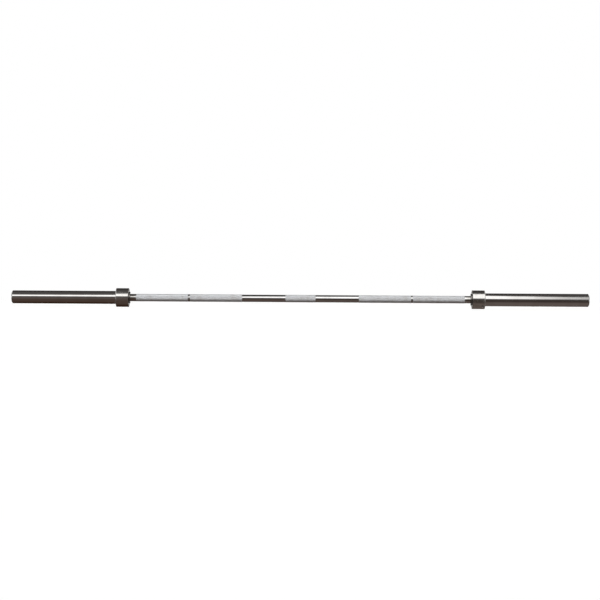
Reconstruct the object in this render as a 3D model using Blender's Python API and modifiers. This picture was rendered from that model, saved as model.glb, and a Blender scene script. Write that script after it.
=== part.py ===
# Olympic barbell: a knurled shaft that carries a free-spinning loading sleeve at each end.
# Units are metres. The bar lies along X with its centre at the origin, and Z is up.

import math

import bmesh
import bpy

# Overall sizes
BAR_LENGTH = 2.200
COLLAR_SPAN = 1.310  # between the inner faces of the two collars
SHAFT_DIAMETER = 0.028
SLEEVE_DIAMETER = 0.050
COLLAR_DIAMETER = 0.072
COLLAR_WIDTH = 0.048

# Clearances
SEAT_GAP = 0.0003  # left between two faces that touch on the real bar
RUNNING_GAP = 0.0003  # radial, where a sleeve turns on the shaft

# Knurled bands of the shaft, as distances from the bar's centre
CENTRE_KNURL_LENGTH = 0.115
GRIP_KNURL_START = 0.222
RING_MARK_PLACE = 0.425
RING_MARK_WIDTH = 0.006
PLAIN_END_LENGTH = 0.022  # smooth shaft between the knurl and the thrust ring
KNURL_RISE = 0.0002
KNURL_EDGE = 0.0006

# Shaft ends
JOURNAL_STEP = 0.0015  # the journal is this much smaller in radius than the shaft
SHOULDER_CHAMFER = 0.0005
SHAFT_TIP_CHAMFER = 0.0010
SHAFT_TIP_LAND = 0.0025  # between the ring's groove and the tip
SHAFT_TIP_CLEARANCE = 0.0030  # from the tip to the end cap

# Thrust ring and dust seal
THRUST_RING_STEP = 0.0025  # the thrust ring is this much smaller in radius than the sleeve
THRUST_RING_WIDTH = 0.0056
THRUST_RING_ROUND = 0.0022
SEAL_THICKNESS = 0.0024

# Bushings and thrust washer
BUSHING_WALL = 0.0040
BUSHING_LENGTH = 0.040
FLANGE_RISE = 0.0018
FLANGE_THICKNESS = 0.0030
BORE_STEP = 0.0011  # the sleeve's middle bore is this much smaller in radius than the bushing seats
WASHER_THICKNESS = 0.0025

# Sleeve and collar edges
SLEEVE_END_CHAMFER = 0.0028
COLLAR_OUTER_ROUND = 0.0025
COLLAR_INNER_CHAMFER = 0.0010

# Collar's set screw
SCREW_DIAMETER = 0.006
SCREW_PLACE = 0.0100  # from the collar's outer face
SCREW_SINK = 0.0010  # below the collar's surface
SCREW_POINT_DIAMETER = 0.0036
SCREW_POINT_LENGTH = 0.0022  # how far the point enters the sleeve tube
SCREW_SOCKET_WIDTH = 0.0030
SCREW_SOCKET_DEPTH = 0.0030

# Retaining ring on the shaft
SHAFT_RING_THICKNESS = 0.0020
SHAFT_RING_BREADTH = 0.0030
SHAFT_GROOVE_DEPTH = 0.0010

# End cap and its retaining ring
CAP_STEP = 0.0012  # the cap's seat is this much larger in radius than the bushing seats
CAP_THICKNESS = 0.0040
CAP_RIM_CHAMFER = 0.0004
CAP_BOSS_RADIUS = 0.0130
CAP_BOSS_HEIGHT = 0.0030
CAP_BOSS_CHAMFER = 0.0008
CAP_CENTRE_RADIUS = 0.0025
CAP_CENTRE_DEPTH = 0.0015
CAP_RING_THICKNESS = 0.0015
CAP_RING_BREADTH = 0.0026
CAP_GROOVE_DEPTH = 0.0012
CAP_RING_INSET = 0.0020  # from the sleeve's end face to the ring

# Lugs of both retaining rings
LUG_RISE = 0.0013
LUG_ANGLE = math.radians(17)
LUG_HOLE_RADIUS = 0.0009
RING_OPENING = math.radians(24)

# Facets and steps round circles and arcs
WIDE_FACETS = 48
SLIM_FACETS = 32
SCREW_FACETS = 16
SEAL_SIDES = 8
HOLE_SIDES = 8
ROUND_STEPS = 3
RING_STEPS = 34
LUG_STEPS = 3
SHARP_CORNER = math.radians(20)  # a turned corner sharper than this shows as an edge

# Each sleeve's resting turn about the bar, in whole facets, which places its set screw
SLEEVE_TURNS = {"left": 18, "right": 0}
SCREW_TURN = -6  # facets from the underside towards the front

# Radii that follow from the sizes above
shaft_radius = SHAFT_DIAMETER / 2
knurl_radius = shaft_radius + KNURL_RISE
journal_radius = shaft_radius - JOURNAL_STEP
running_bore = journal_radius + RUNNING_GAP
bushing_radius = running_bore + BUSHING_WALL
bushing_seat = bushing_radius + SEAT_GAP
sleeve_bore = bushing_seat - BORE_STEP
flange_radius = bushing_radius + FLANGE_RISE
flange_seat = flange_radius + SEAT_GAP
sleeve_radius = SLEEVE_DIAMETER / 2
thrust_ring_radius = sleeve_radius - THRUST_RING_STEP
collar_radius = COLLAR_DIAMETER / 2
collar_bore = sleeve_radius + SEAT_GAP
shaft_groove_radius = journal_radius - SHAFT_GROOVE_DEPTH
shaft_ring_bore = shaft_groove_radius + SEAT_GAP
cap_seat = bushing_seat + CAP_STEP
cap_radius = cap_seat - SEAT_GAP
cap_groove_radius = cap_seat + CAP_GROOVE_DEPTH
cap_ring_radius = cap_groove_radius - SEAT_GAP

# Places along the bar, as distances from its centre: first the inner end of a sleeve
collar_inner_face = COLLAR_SPAN / 2
collar_outer_face = collar_inner_face + COLLAR_WIDTH
thrust_ring_outer = collar_inner_face - SEAT_GAP
thrust_ring_inner = thrust_ring_outer - THRUST_RING_WIDTH
shoulder_place = thrust_ring_inner - SEAT_GAP
knurl_end = shoulder_place - PLAIN_END_LENGTH
flange_seat_place = collar_inner_face + FLANGE_THICKNESS + SEAT_GAP
inner_bushing_end = collar_inner_face + BUSHING_LENGTH
inner_seat_end = inner_bushing_end + SEAT_GAP

# Then its outer end, from the end face inwards
bar_end = BAR_LENGTH / 2
cap_ring_outer = bar_end - CAP_RING_INSET
cap_ring_inner = cap_ring_outer - CAP_RING_THICKNESS
cap_outer = cap_ring_inner - SEAT_GAP
cap_inner = cap_outer - CAP_THICKNESS
cap_seat_place = cap_inner - SEAT_GAP
shaft_tip = cap_inner - SHAFT_TIP_CLEARANCE
shaft_groove_outer = shaft_tip - SHAFT_TIP_LAND
shaft_ring_outer = shaft_groove_outer - SEAT_GAP
shaft_ring_inner = shaft_ring_outer - SHAFT_RING_THICKNESS
shaft_groove_inner = shaft_ring_inner - SEAT_GAP
washer_outer = shaft_ring_inner - SEAT_GAP
washer_inner = washer_outer - WASHER_THICKNESS
outer_bushing_outer = washer_inner - SEAT_GAP
outer_bushing_inner = outer_bushing_outer - BUSHING_LENGTH
outer_seat_start = outer_bushing_inner - SEAT_GAP


def clear_scene():
    for obj in list(bpy.data.objects):
        bpy.data.objects.remove(obj, do_unlink=True)


def new_collection(name):
    collection = bpy.data.collections.new(name)
    bpy.context.scene.collection.children.link(collection)
    return collection


def new_material(name, color, roughness, metallic):
    material = bpy.data.materials.new(name)
    material.use_nodes = True
    shader = material.node_tree.nodes["Principled BSDF"]
    shader.inputs["Base Color"].default_value = (*color, 1.0)
    shader.inputs["Roughness"].default_value = roughness
    shader.inputs["Metallic"].default_value = metallic
    material.diffuse_color = (*color, 1.0)
    return material


def add_object(name, data, parent, collection, material=None):
    obj = bpy.data.objects.new(name, data)
    obj.parent = parent
    collection.objects.link(obj)
    if material:
        data.materials.append(material)
    return obj


def turned(name, outline, facets, ring, parent, material):
    """A lathe-turned piece. The outline is (radius, distance) down the outer side; a ring's closes."""
    mesh = bpy.data.meshes.new(name)
    bm = bmesh.new()
    points = [bm.verts.new((radius, 0.0, distance)) for radius, distance in outline]
    for start, end in zip(points, points[1:]):
        bm.edges.new((start, end))
    if ring:
        bm.edges.new((points[-1], points[0]))
    bm.to_mesh(mesh)
    bm.free()
    obj = add_object(name, mesh, parent, parts)
    screw = obj.modifiers.new("Turning", "SCREW")
    screw.axis = "Z"
    screw.angle = math.tau
    screw.steps = facets
    screw.render_steps = facets
    screw.use_merge_vertices = True
    screw.merge_threshold = 0.00001
    graph = bpy.context.evaluated_depsgraph_get()
    solid = bpy.data.meshes.new_from_object(obj.evaluated_get(graph))
    solid.shade_smooth()
    solid.set_sharp_from_angle(angle=SHARP_CORNER)
    solid.materials.append(material)
    obj.modifiers.remove(screw)
    obj.data = solid
    bpy.data.meshes.remove(mesh)
    return obj


def drill(obj, name, radius, bottom, top, sides, parent):
    """Cuts a straight hole along the parent's Z, from bottom to top, or a socket if it has few sides."""
    mesh = bpy.data.meshes.new(name)
    bm = bmesh.new()
    bmesh.ops.create_cone(
        bm, cap_ends=True, segments=sides, radius1=radius, radius2=radius, depth=top - bottom
    )
    bmesh.ops.translate(bm, verts=bm.verts, vec=(0.0, 0.0, (top + bottom) / 2))
    bm.to_mesh(mesh)
    bm.free()
    cutter = add_object(name, mesh, parent, cutters)
    cutter.hide_render = True
    cutter.display_type = "WIRE"
    boolean = obj.modifiers.new(name, "BOOLEAN")
    boolean.operation = "DIFFERENCE"
    boolean.solver = "EXACT"
    boolean.object = cutter


def arc(centre_radius, centre_distance, radius, start, end):
    """Points on a quarter round of a turned outline."""
    angles = [start + (end - start) * step / ROUND_STEPS for step in range(ROUND_STEPS + 1)]
    return [
        (centre_radius + radius * math.cos(angle), centre_distance + radius * math.sin(angle))
        for angle in angles
    ]


def make_shaft(material):
    """One solid bar: knurled bands stand slightly proud, and each end steps down to its journal."""
    band_edges = [
        (CENTRE_KNURL_LENGTH / 2, knurl_radius, shaft_radius),
        (GRIP_KNURL_START, shaft_radius, knurl_radius),
        (RING_MARK_PLACE - RING_MARK_WIDTH / 2, knurl_radius, shaft_radius),
        (RING_MARK_PLACE + RING_MARK_WIDTH / 2, shaft_radius, knurl_radius),
        (knurl_end, knurl_radius, shaft_radius),
    ]
    half = []
    for place, radius_before, radius_after in band_edges:
        half.append((radius_before, place - KNURL_EDGE / 2))
        half.append((radius_after, place + KNURL_EDGE / 2))
    half += [
        (shaft_radius, shoulder_place - SHOULDER_CHAMFER),
        (shaft_radius - SHOULDER_CHAMFER, shoulder_place),
        (journal_radius, shoulder_place),
        (journal_radius, shaft_groove_inner),
        (shaft_groove_radius, shaft_groove_inner),
        (shaft_groove_radius, shaft_groove_outer),
        (journal_radius, shaft_groove_outer),
        (journal_radius, shaft_tip - SHAFT_TIP_CHAMFER),
        (journal_radius - SHAFT_TIP_CHAMFER, shaft_tip),
        (0.0, shaft_tip),
    ]
    outline = half[::-1] + [(radius, -distance) for radius, distance in half]
    axis = axis_empty("shaft_axis", None, (0.0, math.pi / 2, 0.0))
    return turned("shaft", outline, SLIM_FACETS, False, axis, material)


def make_thrust_ring(side, parent, material):
    """The small ring inboard of the collar, rounded on the inside, with a groove for the seal in its bore."""
    middle = (thrust_ring_inner + thrust_ring_outer) / 2
    groove = running_bore + SEAL_THICKNESS + SEAT_GAP
    half_groove = SEAL_THICKNESS / 2 + SEAT_GAP
    rounding = arc(
        thrust_ring_radius - THRUST_RING_ROUND,
        thrust_ring_inner + THRUST_RING_ROUND,
        THRUST_RING_ROUND,
        0.0,
        -math.pi / 2,
    )
    outline = [(thrust_ring_radius, thrust_ring_outer)] + rounding
    outline += [
        (running_bore, thrust_ring_inner),
        (running_bore, middle - half_groove),
        (groove, middle - half_groove),
        (groove, middle + half_groove),
        (running_bore, middle + half_groove),
        (running_bore, thrust_ring_outer),
    ]
    return turned(side + "_thrust_ring", outline, SLIM_FACETS, True, parent, material)


def make_dust_seal(side, parent, material):
    """A rubber ring of round section in the thrust ring's groove, round the journal."""
    section = SEAL_THICKNESS / 2
    centre = running_bore + section
    middle = (thrust_ring_inner + thrust_ring_outer) / 2
    angles = [-math.tau * (step + 0.5) / SEAL_SIDES for step in range(SEAL_SIDES)]
    outline = [
        (centre + section * math.cos(angle), middle + section * math.sin(angle)) for angle in angles
    ]
    return turned(side + "_dust_seal", outline, SLIM_FACETS, True, parent, material)


def make_sleeve_tube(side, parent, material):
    """The loading sleeve: chamfered outside, and stepped inside for the bushings, the cap and its ring."""
    outline = [
        (cap_seat, bar_end),
        (sleeve_radius - SLEEVE_END_CHAMFER, bar_end),
        (sleeve_radius, bar_end - SLEEVE_END_CHAMFER),
        (sleeve_radius, collar_inner_face),
        (flange_seat, collar_inner_face),
        (flange_seat, flange_seat_place),
        (bushing_seat, flange_seat_place),
        (bushing_seat, inner_seat_end),
        (sleeve_bore, inner_seat_end),
        (sleeve_bore, outer_seat_start),
        (bushing_seat, outer_seat_start),
        (bushing_seat, cap_seat_place),
        (cap_seat, cap_seat_place),
        (cap_seat, cap_ring_inner - SEAT_GAP),
        (cap_groove_radius, cap_ring_inner - SEAT_GAP),
        (cap_groove_radius, cap_ring_outer + SEAT_GAP),
        (cap_seat, cap_ring_outer + SEAT_GAP),
    ]
    return turned(side + "_sleeve_tube", outline, WIDE_FACETS, True, parent, material)


def make_collar(side, parent, material):
    """The wide ring that stops the plates, well rounded at its outer edge."""
    rounding = arc(
        collar_radius - COLLAR_OUTER_ROUND,
        collar_outer_face - COLLAR_OUTER_ROUND,
        COLLAR_OUTER_ROUND,
        math.pi / 2,
        0.0,
    )
    outline = [(collar_bore, collar_outer_face)] + rounding
    outline += [
        (collar_radius, collar_inner_face + COLLAR_INNER_CHAMFER),
        (collar_radius - COLLAR_INNER_CHAMFER, collar_inner_face),
        (collar_bore, collar_inner_face),
    ]
    return turned(side + "_collar", outline, WIDE_FACETS, True, parent, material)


def make_collar_screw(side, collar, tube, parent, material):
    """A socket set screw through the collar's wall, with a point that enters the tube, and their holes."""
    turn = math.tau * SCREW_TURN / WIDE_FACETS
    seat = axis_empty(side + "_screw_seat", parent, (0.0, math.pi / 2, turn))
    seat.location = (0.0, 0.0, collar_outer_face - SCREW_PLACE)

    screw_radius = SCREW_DIAMETER / 2
    point_radius = SCREW_POINT_DIAMETER / 2
    top = collar_radius - SCREW_SINK
    foot = collar_bore
    tip = sleeve_radius - SCREW_POINT_LENGTH
    outline = [
        (0.0, top),
        (screw_radius, top),
        (screw_radius, foot + SEAT_GAP),
        (point_radius, foot + SEAT_GAP),
        (point_radius, tip),
        (0.0, tip),
    ]
    screw = turned(side + "_collar_screw", outline, SCREW_FACETS, False, seat, material)

    above = collar_radius + SCREW_DIAMETER
    socket_radius = SCREW_SOCKET_WIDTH / math.sqrt(3)
    hole_radius = screw_radius + SEAT_GAP
    point_hole_radius = point_radius + SEAT_GAP
    drill(screw, side + "_screw_socket", socket_radius, top - SCREW_SOCKET_DEPTH, above, 6, seat)
    drill(collar, side + "_screw_hole", hole_radius, sleeve_bore, above, SCREW_FACETS, seat)
    drill(tube, side + "_point_hole", point_hole_radius, tip - SEAT_GAP, above, SCREW_FACETS, seat)


def make_inner_bushing(side, parent, material):
    """The flanged bushing, whose flange takes the thrust at the sleeve's inner end."""
    flange_end = collar_inner_face + FLANGE_THICKNESS
    outline = [
        (bushing_radius, inner_bushing_end),
        (bushing_radius, flange_end),
        (flange_radius, flange_end),
        (flange_radius, collar_inner_face),
        (running_bore, collar_inner_face),
        (running_bore, inner_bushing_end),
    ]
    return turned(side + "_inner_bushing", outline, SLIM_FACETS, True, parent, material)


def plain_ring(name, outer_radius, inner_radius, outer_end, inner_end, parent, material):
    outline = [
        (outer_radius, outer_end),
        (outer_radius, inner_end),
        (inner_radius, inner_end),
        (inner_radius, outer_end),
    ]
    return turned(name, outline, SLIM_FACETS, True, parent, material)


def make_end_cap(side, parent, material):
    """A stepped disc with a raised boss, and a shallow centre left by the lathe."""
    boss_end = cap_outer + CAP_BOSS_HEIGHT
    outline = [
        (0.0, boss_end - CAP_CENTRE_DEPTH),
        (CAP_CENTRE_RADIUS, boss_end),
        (CAP_BOSS_RADIUS - CAP_BOSS_CHAMFER, boss_end),
        (CAP_BOSS_RADIUS, boss_end - CAP_BOSS_CHAMFER),
        (CAP_BOSS_RADIUS, cap_outer),
        (cap_radius - CAP_RIM_CHAMFER, cap_outer),
        (cap_radius, cap_outer - CAP_RIM_CHAMFER),
        (cap_radius, cap_inner),
        (0.0, cap_inner),
    ]
    return turned(side + "_end_cap", outline, SLIM_FACETS, False, parent, material)


def polar(radius, angle):
    return (radius * math.cos(angle), radius * math.sin(angle), 0.0)


def arc_points(radius, start, end, steps):
    return [polar(radius, start + (end - start) * step / steps) for step in range(steps + 1)]


def add_closed_spline(curve, points):
    spline = curve.splines.new("POLY")
    spline.points.add(len(points) - 1)
    for target, point in zip(spline.points, points):
        target.co = (*point, 1.0)
    spline.use_cyclic_u = True


def retaining_ring(name, seated, free, lug, inner_end, thickness, parent, material):
    """An open spring ring: its seated edge lies in a groove, and its lugs stand on the free edge."""
    first = RING_OPENING / 2
    last = math.tau - first
    outline = arc_points(seated, first, last, RING_STEPS)
    outline += arc_points(lug, last, last - LUG_ANGLE, LUG_STEPS)
    outline += arc_points(free, last - LUG_ANGLE, first + LUG_ANGLE, RING_STEPS)
    outline += arc_points(lug, first + LUG_ANGLE, first, LUG_STEPS)
    curve = bpy.data.curves.new(name, "CURVE")
    curve.dimensions = "2D"
    curve.fill_mode = "BOTH"
    curve.extrude = thickness / 2
    add_closed_spline(curve, outline)
    hole_place = (seated + lug) / 2
    for angle in (first + LUG_ANGLE / 2, last - LUG_ANGLE / 2):
        x, y, _ = polar(hole_place, angle)
        turns = [math.tau * step / HOLE_SIDES for step in range(HOLE_SIDES)]
        around = [polar(LUG_HOLE_RADIUS, turn) for turn in turns]
        add_closed_spline(curve, [(x + dx, y + dy, 0.0) for dx, dy, _ in around])
    obj = add_object(name, curve, parent, parts, material)
    obj.location = (0.0, 0.0, inner_end + thickness / 2)
    return obj


def axis_empty(name, parent, turn):
    axis = bpy.data.objects.new(name, None)
    axis.parent = parent
    axis.rotation_euler = turn
    parts.objects.link(axis)
    return axis


def make_shaft_pieces(side, axis, steel, spring, rubber):
    """What stays with the shaft at one end: the thrust ring and its seal, the washer and the ring."""
    make_thrust_ring(side, axis, steel("thrust ring"))
    make_dust_seal(side, axis, rubber("seal"))
    plain_ring(
        side + "_thrust_washer",
        bushing_radius,
        running_bore,
        washer_outer,
        washer_inner,
        axis,
        steel("thrust washer"),
    )
    retaining_ring(
        side + "_shaft_ring",
        shaft_ring_bore,
        shaft_ring_bore + SHAFT_RING_BREADTH,
        shaft_ring_bore + SHAFT_RING_BREADTH + LUG_RISE,
        shaft_ring_inner,
        SHAFT_RING_THICKNESS,
        axis,
        spring("shaft ring"),
    )


def make_sleeve_pieces(side, axis, chrome, bronze, spring):
    """What spins together at one end: the tube with its bushings, the collar with its screw, and the cap."""
    tube = make_sleeve_tube(side, axis, chrome("sleeve tube"))
    collar = make_collar(side, axis, chrome("collar"))
    make_collar_screw(side, collar, tube, axis, spring("collar screw"))
    make_inner_bushing(side, axis, bronze("inner bushing"))
    plain_ring(
        side + "_outer_bushing",
        bushing_radius,
        running_bore,
        outer_bushing_outer,
        outer_bushing_inner,
        axis,
        bronze("outer bushing"),
    )
    make_end_cap(side, axis, chrome("end cap"))
    retaining_ring(
        side + "_cap_ring",
        cap_ring_radius,
        cap_ring_radius - CAP_RING_BREADTH,
        cap_ring_radius - CAP_RING_BREADTH - LUG_RISE,
        cap_ring_inner,
        CAP_RING_THICKNESS,
        axis,
        spring("cap ring"),
    )


def finish(prefix, color, roughness, metallic):
    """A maker of one finish, so that each piece has a material of its own."""
    return lambda piece: new_material(prefix + " " + piece, color, roughness, metallic)


def make_side(side, direction):
    """All eleven pieces of one end. Along each axis empty, Z runs outwards from the bar's centre."""
    fixed = axis_empty(side + "_shaft_end_axis", None, (0.0, direction * math.pi / 2, 0.0))
    turn = math.tau * SLEEVE_TURNS[side] / WIDE_FACETS
    spinning = axis_empty(side + "_sleeve_axis", fixed, (0.0, 0.0, turn))
    chrome = finish(side + " chrome", (0.60, 0.59, 0.58), 0.15, 1.0)
    steel = finish(side + " ground steel", (0.45, 0.45, 0.45), 0.3, 1.0)
    spring = finish(side + " blackened steel", (0.08, 0.08, 0.09), 0.45, 1.0)
    bronze = finish(side + " sintered bronze", (0.55, 0.34, 0.14), 0.4, 1.0)
    rubber = finish(side + " rubber", (0.02, 0.02, 0.02), 0.7, 0.0)
    make_shaft_pieces(side, fixed, steel, spring, rubber)
    make_sleeve_pieces(side, spinning, chrome, bronze, spring)


clear_scene()
parts = new_collection("olympic_barbell")
cutters = new_collection("cutters")
make_shaft(new_material("knurled chrome shaft", (0.60, 0.60, 0.60), 0.3, 1.0))
for side_name, outward in (("left", -1), ("right", 1)):
    make_side(side_name, outward)
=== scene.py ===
# Olympic barbell: the looks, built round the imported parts, in a plain white studio
import math

import bmesh
import bpy
from mathutils import Matrix, Vector


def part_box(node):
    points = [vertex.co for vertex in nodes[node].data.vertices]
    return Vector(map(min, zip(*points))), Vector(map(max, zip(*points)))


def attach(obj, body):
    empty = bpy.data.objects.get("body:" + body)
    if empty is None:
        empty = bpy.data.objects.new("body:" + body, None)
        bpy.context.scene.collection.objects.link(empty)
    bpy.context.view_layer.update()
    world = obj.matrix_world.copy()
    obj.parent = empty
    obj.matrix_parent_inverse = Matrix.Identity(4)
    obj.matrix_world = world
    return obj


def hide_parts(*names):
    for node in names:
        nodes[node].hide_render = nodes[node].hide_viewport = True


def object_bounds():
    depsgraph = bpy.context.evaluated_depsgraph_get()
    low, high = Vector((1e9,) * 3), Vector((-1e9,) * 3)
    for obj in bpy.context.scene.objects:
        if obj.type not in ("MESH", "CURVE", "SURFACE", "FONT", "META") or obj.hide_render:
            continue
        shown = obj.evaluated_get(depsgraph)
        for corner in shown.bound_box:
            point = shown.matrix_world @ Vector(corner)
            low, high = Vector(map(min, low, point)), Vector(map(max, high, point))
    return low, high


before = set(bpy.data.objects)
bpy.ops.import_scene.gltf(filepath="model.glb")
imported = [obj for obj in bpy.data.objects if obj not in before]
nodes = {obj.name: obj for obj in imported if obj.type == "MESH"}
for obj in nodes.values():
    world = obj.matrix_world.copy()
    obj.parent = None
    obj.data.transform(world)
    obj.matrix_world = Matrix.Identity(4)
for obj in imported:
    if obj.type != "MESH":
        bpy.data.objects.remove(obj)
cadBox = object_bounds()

mm = 0.001
sides = {"left": -1, "right": 1}
sleeveRest = {"left": 135, "right": 0}  # degrees that each sleeve is turned at rest
turnSteps = 192  # faces round a turned piece
sharpEdge = math.radians(32)  # faces that meet at more than this keep a crisp edge
seatGap = 0.3 * mm  # between two faces that touch on the real bar
joinDistance = 0.01 * mm  # points closer than this are one
sliverWidth = 0.002 * mm  # faces thinner than this are dissolved
white = (1.0, 1.0, 1.0, 1.0)
print("frame loaded:", len(nodes), "nodes")


# Nodes and colours

# One node with its options and its inputs, which are values, sockets or other nodes. In a mix
# node, inputs 2 and 3 are its two numbers, and 6 and 7 its two colours.
def addNode(tree, kind, inputs=None, **options):
    node = tree.nodes.new(kind)
    for name, value in options.items():
        setattr(node, name, value)
    for key, value in (inputs or {}).items():
        if isinstance(value, bpy.types.Node):
            value = value.outputs[0]
        if isinstance(value, bpy.types.NodeSocket):
            tree.links.new(value, node.inputs[key])
        else:
            node.inputs[key].default_value = value
    return node


# Hex colours are sRGB, and shaders work in linear light
def linear(hexText):
    channels = [int(hexText[k:k + 2], 16) / 255 for k in (1, 3, 5)]
    return [c / 12.92 if c <= 0.04045 else ((c + 0.055) / 1.055) ** 2.4 for c in channels] + [1.0]


# Finishes

knurlDepth = {"valley": 13.94 * mm, "crest": 14.20 * mm}  # radii of the grooves and of the points

# A finish is a clean colour and a roughness, changed by its patterns. Each pattern lies on the
# piece itself or on its "turned" rings and circles, or follows its "radius" or how far "along"
# the bar from the middle it is. Sizes and reliefs are in millimetres, and a pattern grows from
# nothing to full over its range.
finishes = {
    # On a ground tube: a mirror with faint rings, scuffed lengthwise by plates
    "groundHardChrome": {"colour": "#C6C4C2", "roughness": 0.045, "patterns": [
        # Grinding lines are 0.3 mm apart, drawn coarser to show
        {"on": "turned", "texture": "Noise", "size": (2.2, 2.2, 1), "range": (0.3, 0.7),
         "roughness": 0.045, "relief": 0.004},
        {"on": "piece", "texture": "Noise", "size": (90, 1.6, 1.6), "range": (0.52, 0.72), "roughness": 0.07},
        {"on": "piece", "texture": "Noise", "size": (45, 45, 45), "range": (0.4, 0.7),
         "colour": "#B2ADA9", "share": 0.35}]},
    # Drawn bar, polished and plated: smoother than the sleeves, dulled a little by hands
    "drawnBarChrome": {"colour": "#C8C7C6", "roughness": 0.06, "patterns": [
        # Polishing lines are under 0.1 mm apart, drawn coarser to show
        {"on": "turned", "texture": "Noise", "size": (2.5, 2.5, 1), "range": (0.3, 0.7),
         "roughness": 0.05, "relief": 0.004},
        {"on": "piece", "texture": "Noise", "size": (33, 33, 33), "range": (0.4, 0.7),
         "colour": "#B0AEAC", "share": 0.4, "roughness": 0.06},
        # Beside the sleeves the bar is painted darker, growing towards them, as painted shade
        {"on": "along", "range": (627 * mm, 640 * mm), "colour": "#ADAAA5", "share": 0.9}]},
    # Plated over a rolled knurl: bright worn points, and duller grooves that hold chalk and dirt, painted
    # darker partly for that dirt and partly as painted shade
    "knurlChrome": {"colour": "#C2C4C6", "roughness": 0.5, "patterns": [
        {"on": "radius", "range": (knurlDepth["valley"], knurlDepth["crest"]), "colour": "#EDEEF0",
         "share": 1.0, "roughness": -0.14},
        {"on": "piece", "texture": "Noise", "size": (22, 22, 22), "range": (0.45, 0.75),
         "colour": "#B4B1AE", "share": 0.45}]},
    # On a turned collar: fine rings all over it, a touch softer than the sleeve
    "turnedCollarChrome": {"colour": "#C5C3C0", "roughness": 0.09, "patterns": [
        # The tool's feed is 0.2 mm a turn, drawn coarser to show
        {"on": "turned", "texture": "Noise", "size": (1.8, 1.8, 1), "range": (0.3, 0.7),
         "roughness": 0.07, "relief": 0.008},
        {"on": "piece", "texture": "Noise", "size": (16, 16, 16), "range": (0.45, 0.7),
         "colour": "#ADA8A3", "share": 0.4, "roughness": 0.08},
        # The face towards the grips is dull, and painted darker as painted shade
        {"on": "along", "range": (655.4 * mm, 655.1 * mm), "colour": "#69645F", "share": 1.0,
         "roughness": 0.5}]},
    # A small turned ring, plated straight over its tool marks, darker than the other chrome
    "turnedRingSteel": {"colour": "#8F8C88", "roughness": 0.14, "patterns": [
        {"on": "turned", "texture": "Noise", "size": (0.6, 0.6, 1), "range": (0.3, 0.7),
         "colour": "#6A6663", "share": 1.0, "roughness": 0.1, "relief": 0.01}]},
    # Faced and plated: circles from the lathe that fan the light out from the middle
    "facedCapChrome": {"colour": "#C8C6C4", "roughness": 0.12, "patterns": [
        {"on": "turned", "texture": "Noise", "size": (0.5, 0.5, 1), "range": (0.3, 0.7),
         "colour": "#AFABA7", "share": 1.0, "roughness": 0.12},
        {"on": "turned", "texture": "Wave", "size": (3.2, 3.2, 1), "range": (0.0, 1.0), "relief": 0.02}]},
    # Black oxide: a thin matt black skin, rubbed back to steel on the edges
    "blackOxideSteel": {"colour": "#141415", "roughness": 0.5, "patterns": [
        {"on": "piece", "texture": "Noise", "size": (1.1, 1.1, 1.1), "range": (0.5, 0.75),
         "colour": "#4A4845", "share": 0.6, "roughness": -0.18}]},
    # Phosphated: dark grey and finely crystalline, with a sheen of oil
    "phosphatedSpringSteel": {"colour": "#3A3A3C", "roughness": 0.36, "patterns": [
        {"on": "piece", "texture": "Voronoi", "size": (0.6, 0.6, 0.6), "range": (0.1, 0.7),
         "colour": "#5B5B5D", "share": 0.8, "roughness": 0.19, "relief": 0.015}]},
    # Pressed bronze powder: dull gold with open pores full of oil
    "sinteredBronze": {"colour": "#3B2A17", "roughness": 0.6, "patterns": [
        {"on": "piece", "texture": "Voronoi", "size": (0.45, 0.45, 0.45), "range": (0.08, 0.3),
         "colour": "#B08A4C", "share": 1.0, "roughness": -0.24, "relief": 0.02},
        {"on": "piece", "texture": "Noise", "size": (8, 8, 8), "range": (0.4, 0.7),
         "colour": "#8F6A35", "share": 0.6}]},
    # Ground and hardened: plain bright steel with straight grinding lines
    "groundWasherSteel": {"colour": "#A3A3A4", "roughness": 0.22, "patterns": [
        {"on": "piece", "texture": "Noise", "size": (1, 0.5, 20), "range": (0.3, 0.7),
         "colour": "#C4C4C4", "share": 1.0, "roughness": 0.14, "relief": 0.006}]},
    # Moulded black rubber: matt, with a fine bloom of grease and dust
    "mouldedSealRubber": {"colour": "#1A1A1B", "roughness": 0.5, "metallic": 0.0, "patterns": [
        {"on": "piece", "texture": "Noise", "size": (2.5, 2.5, 2.5), "range": (0.4, 0.7),
         "colour": "#2C2B2A", "share": 1.0, "roughness": 0.2, "relief": 0.02}]},
}


textureDetails = {"Noise": {"Detail": 3.0}, "Wave": {"Detail": 2.0, "Distortion": 0.6}, "Voronoi": {}}


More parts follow.
